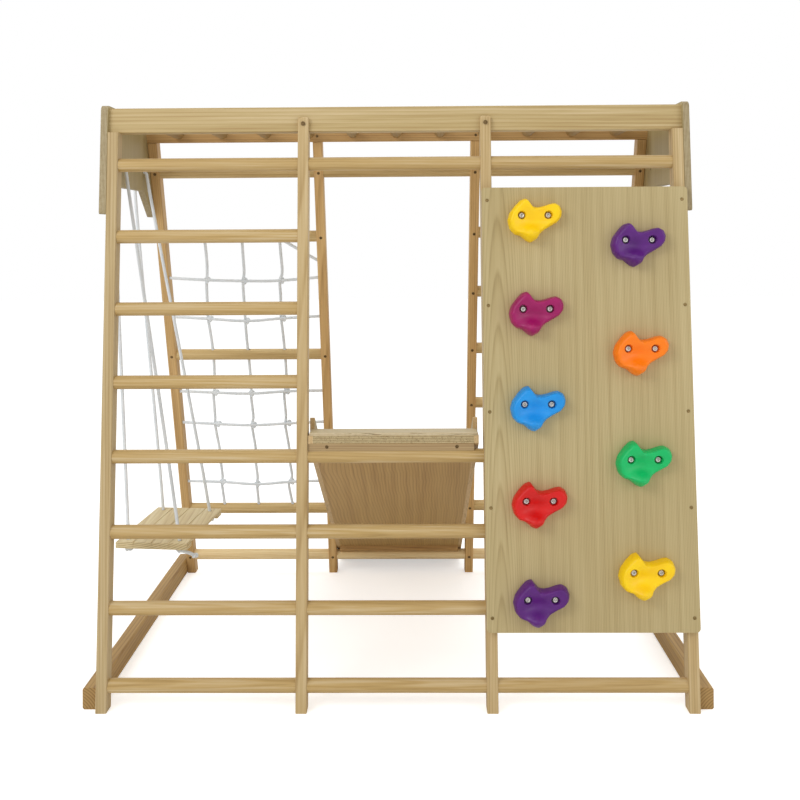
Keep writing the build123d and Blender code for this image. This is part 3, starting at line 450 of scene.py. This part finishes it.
def tubeGrid(line, radius, columns, reference, closed=False):
    # a point of the tube is the line plus the radius round its direction, in a frame kept by a fixed reference
    ahead = np.roll(line, -1, axis=0) - np.roll(line, 1, axis=0) if closed else np.gradient(line, axis=0)
    ahead /= np.linalg.norm(ahead, axis=1, keepdims=True)
    side = np.cross(ahead, reference)
    side /= np.linalg.norm(side, axis=1, keepdims=True)
    up = np.cross(side, ahead)
    angle = np.linspace(0, 2 * math.pi, columns, endpoint=False)[None, :]
    radius = np.broadcast_to(radius, (len(line), columns))[..., None]
    return line[:, None] + radius * (np.cos(angle)[..., None] * side[:, None] + np.sin(angle)[..., None] * up[:, None])


# Climbing holds
holdSettings = {
    "thickness": 0.0325, "rim": 0.012, "rimPower": 2.3, "soft": 0.0022, "columns": 280, "rows": 110, "poleGap": 0.012,
    "dish": {"depth": 0.0145, "place": (-0.004, -0.0145), "width": 0.030, "narrow": 2.0},
    "nose": {"height": 0.019, "place": (-0.0084, -0.0455), "width": 0.0098, "broad": 0.66},
    # low bell-shaped rises: height, place and width of the ear and of the right and left shoulders
    "rises": ((0.004, (-0.024, 0.028), 0.014), (0.003, (0.056, 0.012), 0.016), (0.004, (-0.056, -0.012), 0.018)),
    "boltSpacing": 0.0674, "boreRadius": 0.0098, "boreFloor": 0.014, "boreSoft": 0.0012,
    "panelThickness": 0.018, "panelBottom": 0.199 / math.cos(playset["leanFront"]), "panelLength": 1.108,
}
# outline round the middle between the two bolts, x to the right and y up, clockwise from the ear
holdOutline = np.array([
    (-22, 44.6), (-12.5, 32.6), (-4.6, 23.7), (8.1, 21.5), (23.9, 24.7), (39.7, 30.1), (52.4, 32), (65, 24.7),
    (70.4, 10.4), (68.2, -3.8), (58.7, -16.5), (39.7, -27.5), (22.5, -37.6), (12, -48), (5.5, -59.5),
    (-10.9, -68.7), (-22, -63.9), (-36.2, -51.3), (-52.1, -46.5), (-63.1, -33.9), (-68.5, -11.7), (-63.1, 7.3),
    (-48.9, 26.3), (-34.7, 40.5)]) / 1000
holdMiddle = np.array([2.0, -8.0]) / 1000


def outlineLoop(count, soft):
    # the outline at even steps of its length, each point averaged with its neighbours under a bell curve
    closed = np.concatenate([holdOutline, holdOutline[:1]])
    along = np.concatenate([[0], np.cumsum(np.hypot(*np.diff(closed, axis=0).T))])
    even = np.linspace(0, along[-1], count, endpoint=False)
    loop = np.interp(even, along, closed[:, 0]) + 1j * np.interp(even, along, closed[:, 1])
    waves = np.fft.fftfreq(count, along[-1] / count)
    loop = np.fft.ifft(np.fft.fft(loop) * np.exp(-2 * (math.pi * soft * waves) ** 2))
    return loop.real, loop.imag


def hill(x, y, place, width):
    return np.exp(-((x - place[0]) ** 2 + (y - place[1]) ** 2) / (2 * width ** 2))


def holdSurface():
    # height over the panel: a slab, less a dish across its middle, plus a nose below and low rises round it, all bell
    # curves; times a superellipse of the distance from the edge for the rolled rim; lowered to a floor at each bolt
    s, dish, nose = holdSettings, holdSettings["dish"], holdSettings["nose"]
    edgeX, edgeY = outlineLoop(s["columns"], s["soft"])
    reach = np.hypot(edgeX - holdMiddle[0], edgeY - holdMiddle[1])
    share = np.sin(np.linspace(s["poleGap"], 1.0, s["rows"]) * math.pi / 2)[:, None]
    x = holdMiddle[0] + (edgeX - holdMiddle[0]) * share
    y = holdMiddle[1] + (edgeY - holdMiddle[1]) * share
    height = s["thickness"] - dish["depth"] * hill(
        x, (y - dish["place"][1]) * dish["narrow"], (dish["place"][0], 0), dish["width"])
    height += nose["height"] * hill(x * nose["broad"], y, nose["place"], nose["width"])
    for rise, place, width in s["rises"]:
        height += rise * hill(x, y, place, width)
    inside = np.clip(reach * (1 - share) / s["rim"], 0, 1)
    height = height * (1 - (1 - inside) ** s["rimPower"]) ** (1 / s["rimPower"])
    for side in (-1, 1):
        away = np.hypot(x - side * s["boltSpacing"] / 2, y)
        wall = np.clip((away - s["boreRadius"] + s["boreSoft"]) / (2 * s["boreSoft"]), 0, 1)
        wall = wall * wall * (3 - 2 * wall)
        floor = np.minimum(height, s["boreFloor"])
        height = floor + (height - floor) * wall
    return np.stack([x, y, height], axis=-1)


def onPanel(points, x, rise):
    return onFront(x + points[..., 0], rise + points[..., 1], -holdSettings["panelThickness"] - points[..., 2])


holdColumns = {  # place across, distances from the panel's ends, and colours from the bottom up
    "left": (0.357, 0.0853, 0.0743, ("purple", "red", "blue", "magenta", "yellow")),
    "right": (0.618, 0.1495, 0.1384, ("yellow", "green", "orange", "purple")),
}
oneHold = holdSurface()
holdPlaces = []
for column, (x, bottom, top, colours) in holdColumns.items():
    step = (holdSettings["panelLength"] - bottom - top) / (len(colours) - 1)
    for i, colour in enumerate(colours):
        rise = holdSettings["panelBottom"] + bottom + i * step
        holdPlaces.append((x, rise))
        hold = gridMesh(f"hold_{column}_{i + 1}_moulded", onPanel(oneHold, x, rise)[None], colour)
        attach(hold, "frame")
        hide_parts(f"hold_{column}_{i + 1}")
print("holds moulded:", len(holdPlaces))

# Socket-head bolts with washers, turned on their own axis
boltSettings = {
    # radius and height of each ring from the washer's rim to the bottom of the hexagonal socket, in mm
    "profile": ((9.0, 0.0), (9.0, 1.2), (8.7, 1.5), (6.5, 1.5), (6.5, 6.6), (6.2, 7.2), (5.6, 7.5), (3.4, 7.5)),
    "socket": ((3.0, 7.2), (2.9, 4.0), (0.6, 3.6)),
}


def boltGrid():
    # each ring is a circle, except that the socket's are hexagons: flat over the cosine of the angle from it
    angle = np.linspace(0, 2 * math.pi, 60, endpoint=False)
    hexagon = 1 / np.cos((angle + math.pi / 6) % (math.pi / 3) - math.pi / 6)
    rings = np.array(boltSettings["profile"] + boltSettings["socket"]) / 1000
    shape = np.ones((len(rings), len(angle)))
    shape[len(boltSettings["profile"]):-1] = hexagon
    radius = rings[:, :1] * shape
    height = np.broadcast_to(rings[:, 1:], shape.shape)
    return np.stack([radius * np.cos(angle), radius * np.sin(angle), height], axis=-1)


boltAside = holdSettings["boltSpacing"] / 2
boltPlaces = np.array([(x + side * boltAside, rise) for x, rise in holdPlaces for side in (-1, 1)])
bolts = boltGrid()[None] + np.array([0, 0, holdSettings["boreFloor"]])
bolts = onPanel(bolts, boltPlaces[:, 0, None, None], boltPlaces[:, 1, None, None])
boltPiece = gridMesh("hold_bolts_socket", bolts, "zinc")
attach(boltPiece, "frame")
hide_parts("hold_bolts")
print("hold bolts turned:", len(boltPlaces))

# Ropes
ropeSettings = {"radius": 0.0045, "step": 0.0016, "columns": 24, "strands": 4, "pitch": 0.030, "relief": 0.10}
knotSettings = {"rows": 150, "columns": 16, "spin": 2.4}


def splineLine(name, route, step):
    # the middle line of a NURBS curve through the route's points, read as a mesh and spaced evenly
    curve = bpy.data.curves.new(name, "CURVE")
    curve.dimensions = "3D"
    curve.resolution_u = 32
    spline = curve.splines.new("NURBS")
    spline.points.add(len(route) - 1)
    spline.points.foreach_set("co", np.concatenate([route, np.ones((len(route), 1))], axis=1).ravel())
    spline.order_u = 3
    spline.use_endpoint_u = True
    holder = bpy.data.objects.new(name, curve)
    mesh = bpy.data.meshes.new_from_object(holder)
    line = np.zeros(len(mesh.vertices) * 3)
    mesh.vertices.foreach_get("co", line)
    bpy.data.objects.remove(holder)
    bpy.data.curves.remove(curve)
    bpy.data.meshes.remove(mesh)
    line = line.reshape(-1, 3)
    along = np.concatenate([[0], np.cumsum(np.linalg.norm(np.diff(line, axis=0), axis=1))])
    even = np.linspace(0, along[-1], int(along[-1] / step) + 2)
    return np.stack([np.interp(even, along, line[:, i]) for i in range(3)], axis=-1), even


def braid(along, columns, rope):
    # radius of a plaited rope: two sets of strands wind opposite ways, each higher where the other dips
    angle = np.linspace(0, 2 * math.pi, columns, endpoint=False)[None, :]
    turn = 2 * math.pi * along[:, None] / rope["pitch"]
    one = rope["strands"] * angle / 2 + turn
    two = rope["strands"] * angle / 2 - turn
    over = np.cos(one) ** 2 * (0.75 + 0.25 * np.cos(2 * two))
    under = np.cos(two) ** 2 * (0.75 - 0.25 * np.cos(2 * one))
    return rope["radius"] * (1 + rope["relief"] * (np.maximum(over, under) - 0.6))


def ropeUv(along, columns):
    angle = np.linspace(0, 1, columns)[None, :]
    return np.stack(np.broadcast_arrays(angle, along[:, None]), axis=-1)


def ropePiece(name, route, reference):
    line, along = splineLine(name, route, ropeSettings["step"])
    columns = ropeSettings["columns"]
    grid = tubeGrid(line, braid(along, columns, ropeSettings), columns, reference)
    return gridMesh(name, grid[None], "rope", uvs=ropeUv(along, columns)), line, along[-1]


def knotGrid(size, radius, thickness):
    # a trefoil: x = sin t + 2 sin 2t, y = cos t - 2 cos 2t, z = -sin 3t, which is an overhand knot with joined ends
    t = np.linspace(0, 2 * math.pi, knotSettings["rows"], endpoint=False)
    line = size * np.stack(
        [np.sin(t) + 2 * np.sin(2 * t), np.cos(t) - 2 * np.cos(2 * t), -thickness * np.sin(3 * t)], axis=-1)
    along = np.cumsum(np.linalg.norm(np.roll(line, -1, axis=0) - line, axis=1))
    columns = knotSettings["columns"]
    around = braid(along, columns, {**ropeSettings, "radius": radius})
    return tubeGrid(line, around, columns, np.array([0.0, 0.0, 1.0]), closed=True), along


def placedKnots(name, places, size, radius, thickness, turn):
    # each copy is turned about its own axis by a different angle, and tipped by the 3 x 3 turn
    grid, along = knotGrid(size, radius, thickness)
    spin = np.arange(len(places)) * knotSettings["spin"]
    zero, one = np.zeros(len(places)), np.ones(len(places))
    spins = np.array([[np.cos(spin), -np.sin(spin), zero], [np.sin(spin), np.cos(spin), zero], [zero, zero, one]])
    grids = np.einsum("ij,jkn,rck->nrci", turn, spins, grid) + places[:, None, None]
    return gridMesh(name, grids, "rope", loop=True, uvs=ropeUv(along, knotSettings["columns"]))


# Climbing net: three upright ropes between rungs and six cross ropes between the legs, knotted where they meet
netSettings = {
    "columnCount": 3, "bottom": 0.245, "top": 1.182, "uprightDepth": 0.020, "crossDepth": 0.0107,
    "endDepth": 0.012, "hidden": 0.0055, "knotSize": 0.0028, "knotRadius": 0.0036,
    # the height of each cross rope, and how far it hangs at each upright, in mm
    "sags": {0.350: (2, 16, 2), 0.447: (6, 10, 5), 0.565: (8, 14, 6), 0.674: (6, 12, 1), 0.926: (7, 18, 6),
             1.053: (9, 12, 13)},
    "tieXs": (-0.372, -0.335, -0.293, -0.2487), "tieHeights": (1.179, 1.156, 1.130, 1.1045),
    # how far each upright rope stands aside, in mm, along its length: the knots pull it to and fro
    "heights": (0.302, 0.341, 0.359, 0.401, 0.438, 0.456, 0.508, 0.556, 0.574, 0.622, 0.665, 0.683, 0.740, 0.798,
                0.862, 0.917, 0.935, 0.988, 1.044, 1.062, 1.122),
    "asides": (
        (-3, -6, 0, -2, -5, -2, -8, -13, -10, -10, -10, -3, -1, 1, -3, -8, -8, -6, -4, 1, 3),
        (-2, -3, 2, -1, -4, 2, -3, -8, 1, -2, -4, 0, -1, -3, -6, -6, -6, -6, -6, 1, 0),
        (-8, -13, 3, -2, -6, -2, -8, -14, -8, -10, -12, -2, 0, -1, -4, -8, -8, -5, -7, 5, 2)),
}
bayWidth = playset["bayHigh"] - playset["bayLow"]
columnCount = netSettings["columnCount"]
columnPlaces = [playset["bayLow"] + bayWidth * (i + 1) / (columnCount + 1) for i in range(columnCount)]
facingBack = np.array([0.0, 1.0, 0.0])
for i, x in enumerate(columnPlaces):
    ends = netSettings["bottom"] + netSettings["hidden"], netSettings["top"] - netSettings["hidden"]
    heights = (ends[0], *netSettings["heights"], ends[1])
    asides = np.array([0, *netSettings["asides"][i], 0]) / 1000
    route = onRear(x + asides, np.array(heights), netSettings["uprightDepth"])
    rope, line, length = ropePiece(f"net_rope_upright_{i + 1}", route, facingBack)
    ties = []
    if i == columnCount - 1:  # a short tie slants from the upper rung to the leg
        tieRoute = onRear(netSettings["tieXs"], netSettings["tieHeights"], netSettings["crossDepth"])
        ties = [ropePiece("net_tie", tieRoute, facingBack)[0]]
    for piece in (rope, *ties):
        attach(piece, "frame")
        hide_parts("net_ropes_upright")

# turns a knot's own axis to stand square to the net
tip = np.array([[1, 0, 0], [0, math.sin(-playset["leanRear"]), -math.cos(playset["leanRear"])],
                [0, math.cos(playset["leanRear"]), math.sin(-playset["leanRear"])]])
for i, (height, sags) in enumerate(netSettings["sags"].items()):
    reach = netSettings["endDepth"]
    xs = np.array([playset["bayLow"] - reach, *columnPlaces, playset["bayHigh"] + reach])
    drops = np.array([0, *sags, 0]) / 1000
    route = onRear(xs, height - drops, netSettings["crossDepth"])
    rope, line, length = ropePiece(f"net_rope_cross_{i + 1}", route, facingBack)
    knotHeights = np.interp(columnPlaces, line[:, 0], line[:, 2])
    depth = (netSettings["uprightDepth"] + netSettings["crossDepth"]) / 2
    knots = placedKnots(f"net_knots_{i + 1}", onRear(np.array(columnPlaces), knotHeights, depth),
                        netSettings["knotSize"], netSettings["knotRadius"], 1.2, tip)
    for piece in (rope, knots):
        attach(piece, "frame")
        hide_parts("net_ropes_cross")
print("net tied: 9 ropes, 18 knots")

# Swing: each rope runs up from an outer seat hole, through the end plate and down to an inner one
swingSettings = {
    "plateX": -0.759, "pivot": 1.37497, "arm": 0.018, "guard": (0.016, 0.092), "holeEase": 0.018,
    "holes": {"front": 0.250005, "rear": 0.451005}, "seatMiddle": (-0.643, 0.332005), "seatTurn": math.radians(-5),
    "seatHalf": (0.0715, 0.134), "seatBottom": 0.349, "knee": 0.379,
    "knotSize": 0.0027, "knotRadius": 0.0043, "knotDrop": 0.0066, "bendEnd": 1.300,
    # the long end of one rope, from its knot, in mm, and the knot at its tip
    "tail": ((0, 0, -2), (12, -1, -5), (26, -2, -8), (40, -2, -15)), "tipShare": 0.8, "tipRadius": 0.0036,
}


def seatPoint(sx, sy, height):
    s = swingSettings
    x, y = sx * s["seatHalf"][0], sy * s["seatHalf"][1]
    turn = s["seatTurn"]
    return (s["seatMiddle"][0] + x * math.cos(turn) - y * math.sin(turn),
            s["seatMiddle"][1] + x * math.sin(turn) + y * math.cos(turn) - playset["originBack"], height)


for name, sy in (("front", -1), ("rear", 1)):
    s = swingSettings
    hole = s["holes"][name] - playset["originBack"]
    route = np.array([
        seatPoint(-1, sy, s["seatBottom"]), seatPoint(-1, sy, s["knee"]),
        (s["plateX"] - s["guard"][0], hole, s["pivot"] - s["guard"][1]),
        (s["plateX"] - s["arm"], hole, s["pivot"] - s["holeEase"]), (s["plateX"] - s["arm"], hole, s["pivot"]),
        (s["plateX"] + s["arm"], hole, s["pivot"]), (s["plateX"] + s["arm"], hole, s["pivot"] - s["holeEase"]),
        seatPoint(1, sy, s["knee"]), seatPoint(1, sy, s["seatBottom"])])
    rope, line, length = ropePiece(f"swing_rope_{name}_braided", route, facingBack)
    places = np.array([seatPoint(sx, sy, s["seatBottom"] - s["knotDrop"]) for sx in (-1, 1)])
    knots = [placedKnots(f"swing_knots_{name}_tied", places, s["knotSize"], s["knotRadius"], 1.0, np.eye(3))]
    if sy < 0:  # the front inner rope has a long end, knotted once more
        tail = places[1] + np.array(s["tail"]) / 1000
        tipSize = s["knotSize"] * s["tipShare"]
        knots += [ropePiece("swing_tail_front", tail, facingBack)[0],
                  placedKnots("swing_tail_knot", tail[-1:], tipSize, s["tipRadius"], 1.0, np.eye(3))]
    for piece in knots:
        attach(piece, "swing")
        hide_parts("swing_knots")
    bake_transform(rope)
    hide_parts(f"swing_rope_{name}")
    print("swing rope", name, "hung:", round(length, 3), "m")

# Studio: pale floor, soft lamps and a white surround
studio = {"surround": 0.62, "floorGlow": 0.5, "floorHalf": 14.0}
lamps = {  # place, aim, disk size and power
    "keyLight": ((-2.4, -3.2, 3.1), (0, 0, 0.7), 2.2, 60.0),
    "fillLight": ((3.0, -2.6, 1.8), (0, 0, 0.7), 2.5, 22.0),
    "topLight": ((0.2, 0.6, 4.2), (0, 0, 0.6), 2.6, 26.0),
}
for name, (place, aim, size, power) in lamps.items():
    lamp = bpy.data.lights.new(name, "AREA")
    lamp.shape = "DISK"
    lamp.size = size
    lamp.energy = power
    stand = bpy.data.objects.new(name, lamp)
    stand.location = place
    x, y, z = np.array(aim) - np.array(place)
    stand.rotation_euler = (math.atan2(math.hypot(x, y), -z), 0, math.atan2(x, -y) + math.pi)
    bpy.context.scene.collection.objects.link(stand)

surround = bpy.data.worlds.new("studio")
bpy.context.scene.world = surround
surround.use_nodes = True
links = surround.node_tree.links
nodes = surround.node_tree.nodes
nodes.clear()
rays = nodes.new("ShaderNodeLightPath")
seen = nodes.new("ShaderNodeMath")
seen.operation = "MAXIMUM"
links.new(rays.outputs["Is Camera Ray"], seen.inputs[0])
links.new(rays.outputs["Is Glossy Ray"], seen.inputs[1])
strength = nodes.new("ShaderNodeMapRange")
strength.inputs["To Min"].default_value = studio["surround"]
links.new(seen.outputs[0], strength.inputs[0])
sky = nodes.new("ShaderNodeBackground")
sky.inputs[0].default_value = (1, 1, 1, 1)
links.new(strength.outputs[0], sky.inputs[1])
links.new(sky.outputs[0], nodes.new("ShaderNodeOutputWorld").inputs[0])

g = Graph("floorPaint")
floorTone = g.mix(g.noise(g.objectPlace(), 2.0, 2.0), tone("fbfbfa"), tone("fdfdfd"))
g.finish(floorTone, 0.9, g.bump(g.noise(g.objectPlace(), 40.0), 0.02, 0.001), Specular_IOR_Level=0.0)
g.feed(g.shader.inputs["Emission Color"], (1, 1, 1, 1))
g.feed(g.shader.inputs["Emission Strength"],
       g.math("MULTIPLY", g.put("ShaderNodeLightPath", output=0), studio["floorGlow"]))
finishes["floor"] = g.material
corners = np.array([[-1, -1, 0], [1, -1, 0], [1, 1, 0], [-1, 1, 0]]) * studio["floorHalf"]
makeMesh("studio_floor", corners, np.arange(4), np.zeros(1), "floor")
bpy.context.scene.view_settings.view_transform = "Standard"
print("stage set")
